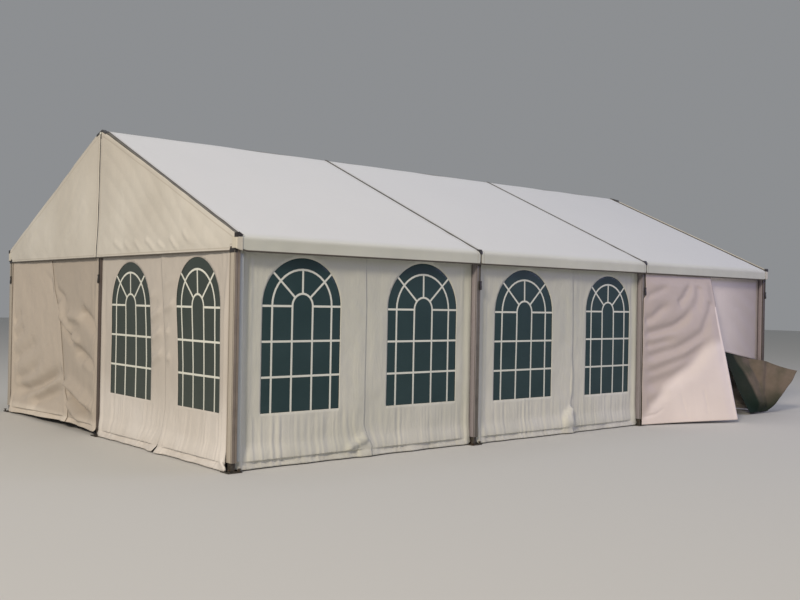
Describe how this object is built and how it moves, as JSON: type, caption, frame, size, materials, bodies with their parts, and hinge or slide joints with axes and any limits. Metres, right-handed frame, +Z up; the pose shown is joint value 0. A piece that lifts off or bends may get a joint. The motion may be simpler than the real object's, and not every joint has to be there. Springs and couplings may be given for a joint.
{
  "type": "frame marquee tent",
  "caption": "White frame marquee with a pitched roof, arched clear windows and a doorway bay with a loose flap and a raised curtain.",
  "frame": {"origin": "on the ground, under the middle of the base plate of the near front corner leg (leg_front_1)", "axes": "+X along the tent from the near gable to the far gable, +Y across it from the front long side to the back, +Z up"},
  "size_m": [10.075, 6.5773, 3.57],
  "materials": {
    "frame": "mill-finish extruded aluminium, dull and weathered, with galvanised steel feet",
    "roof_cloth": "white PVC-coated polyester, taut, semi-matt",
    "wall_cloth": "off-white PVC-coated polyester with hanging folds and a dirty skirt",
    "gable_cloth": "off-white PVC-coated polyester, warmer in tone",
    "window_plastic": "clear PVC sheet, dark because the inside is unlit",
    "brown_cloth": "brown and olive cloth, muddy and dull"
  },
  "bodies": {
    "root": {"brown_tail": "brown_cloth", "door_flap": "wall_cloth", "eave_purlin_back_1": "frame", "eave_purlin_back_2": "frame", "eave_purlin_back_3": "frame", "eave_purlin_front_1": "frame", "eave_purlin_front_2": "frame", "eave_purlin_front_3": "frame", "gable_beam_far_back": "frame", "gable_beam_far_front": "frame", "gable_beam_near_back": "frame", "gable_beam_near_front": "frame", "gable_post_far": "frame", "gable_post_near": "frame", "gable_sheet_far_back": "gable_cloth", "gable_sheet_far_front": "gable_cloth", "gable_sheet_near_back": "gable_cloth", "gable_sheet_near_front": "gable_cloth", "leg_back_1": "frame", "leg_back_2": "frame", "leg_back_3": "frame", "leg_back_4": "frame", "leg_front_1": "frame", "leg_front_2": "frame", "leg_front_3": "frame", "leg_front_4": "frame", "panes_wall_back_1": "window_plastic", "panes_wall_back_2": "window_plastic", "panes_wall_far_back": "window_plastic", "panes_wall_front_1": "window_plastic", "panes_wall_front_2": "window_plastic", "panes_wall_near_front": "window_plastic", "rafters_1": "frame", "rafters_2": "frame", "rafters_3": "frame", "rafters_4": "frame", "raised_curtain": "wall_cloth", "ridge_purlin_1": "frame", "ridge_purlin_2": "frame", "ridge_purlin_3": "frame", "roof_sheet_1": "roof_cloth", "roof_sheet_2": "roof_cloth", "roof_sheet_3": "roof_cloth", "wall_back_1": "wall_cloth", "wall_back_2": "wall_cloth", "wall_back_3": "wall_cloth", "wall_far_back": "gable_cloth", "wall_far_front": "gable_cloth", "wall_front_1": "wall_cloth", "wall_front_2": "wall_cloth", "wall_near_back": "gable_cloth", "wall_near_front": "gable_cloth"}
  },
  "joints": []
}
